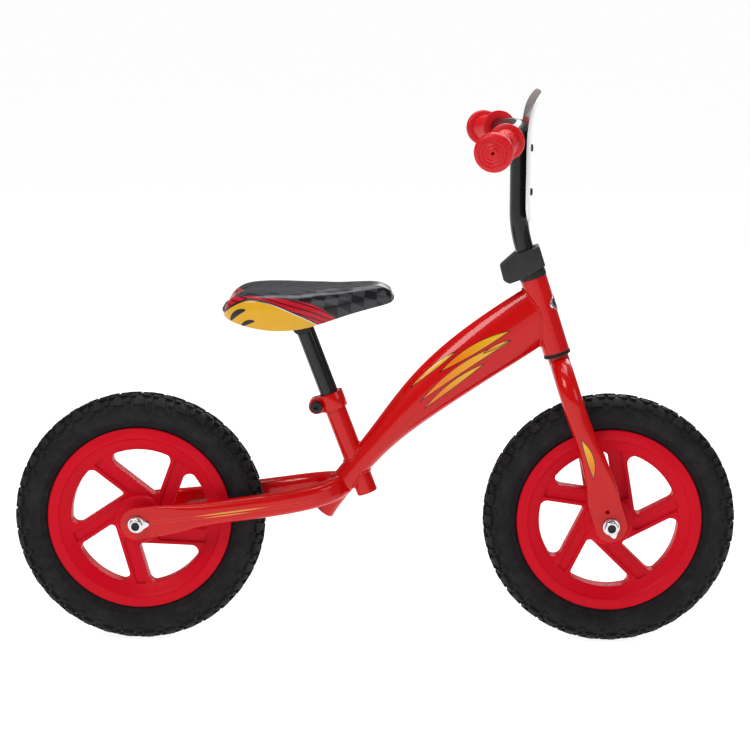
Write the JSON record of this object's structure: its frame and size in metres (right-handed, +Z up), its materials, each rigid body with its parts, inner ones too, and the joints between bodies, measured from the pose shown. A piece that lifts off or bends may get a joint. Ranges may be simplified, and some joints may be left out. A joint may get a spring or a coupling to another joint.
{
  "type": "balance bike",
  "caption": "Child's balance bike: curved one-tube frame, straight fork, swept handlebar with a plate, padded saddle, knobbly tyres on pinwheel-spoked plastic rims, no pedals.",
  "frame": {"origin": "on the ground, half-way between the two axles, in the symmetry plane", "axes": "+X forward, +Y to the rider's left, +Z up"},
  "size_m": [0.873, 0.412, 0.667],
  "materials": {
    "red_paint": "glossy enamel",
    "black_paint": "glossy powder coat",
    "red_plastic": "satin nylon",
    "grip_red": "soft semi-gloss vinyl",
    "tyre_black": "moulded, matte",
    "black_plastic": "fine-textured",
    "white_plastic": "smooth sheet",
    "nylon": "plain",
    "zinc": "bright plated",
    "black_bolt": "black oxide",
    "badge": "blank badge with a bright rim",
    "saddle_vinyl": "printed glossy vinyl",
    "foam": "open-cell foam"
  },
  "bodies": {
    "frame": {"main_tube": "red_paint", "head_tube": "red_paint", "seat_tube": "red_paint", "right_chain_stay": "red_paint", "left_chain_stay": "red_paint", "seat_clamp_collar": "red_paint", "seat_clamp_bolt": "black_bolt", "upper_headset_bush": "black_plastic", "lower_headset_bush": "black_plastic", "head_badge": "badge", "rear_axle": "zinc", "rear_axle_nuts": "zinc", "rear_tab_washers": "zinc", "rear_axle_spacers": "zinc"},
    "fork": {"steerer_tube": "red_paint", "right_fork_leg": "red_paint", "left_fork_leg": "red_paint", "crown_race": "black_bolt", "stem_clamp_collar": "black_paint", "stem_clamp_bolt": "black_bolt", "clamp_cover": "black_plastic", "front_axle": "zinc", "front_axle_nuts": "zinc", "front_tab_washers": "zinc", "front_axle_spacers": "zinc"},
    "handlebar": {"stem_tube": "black_paint", "handlebar_tube": "black_paint", "right_grip": "grip_red", "left_grip": "grip_red", "number_plate": "white_plastic", "plate_screws": "black_bolt"},
    "front_wheel": {"front_rim": "red_plastic", "front_tyre": "tyre_black", "front_hub_bushes": "nylon"},
    "rear_wheel": {"rear_rim": "red_plastic", "rear_tyre": "tyre_black", "rear_hub_bushes": "nylon"},
    "seat_post": {"seat_post": "black_paint", "saddle_clamp_core": "zinc", "saddle_clamp_bolt": "zinc"},
    "saddle": {"saddle_rails": "zinc", "saddle_rail_jaws": "zinc", "saddle_pan": "black_plastic", "saddle_foam": "foam", "saddle_cover": "saddle_vinyl"}
  },
  "joints": [
    {"name": "steering", "type": "hinge", "parent": "frame", "child": "fork", "pos_m": [0.20452, 0, 0.40005], "axis": [-0.3057, 0, 0.9521], "continuous": true},
    {"name": "handlebar_height", "type": "slide", "parent": "fork", "child": "handlebar", "axis": [-0.3057, 0, 0.9521], "range_m": [0, 0.035]},
    {"name": "front_wheel_spin", "type": "hinge", "parent": "fork", "child": "front_wheel", "pos_m": [0.284, 0, 0.1525], "axis": [0, 1, 0], "continuous": true},
    {"name": "rear_wheel_spin", "type": "hinge", "parent": "frame", "child": "rear_wheel", "pos_m": [-0.284, 0, 0.1525], "axis": [0, 1, 0], "continuous": true},
    {"name": "seat_height", "type": "slide", "parent": "frame", "child": "seat_post", "axis": [-0.3502, 0, 0.9367], "range_m": [-0.055, 0.025]},
    {"name": "saddle_tilt", "type": "hinge", "parent": "seat_post", "child": "saddle", "pos_m": [-0.08595, 0, 0.39094], "axis": [0, 1, 0], "range_deg": [-10, 10]}
  ]
}
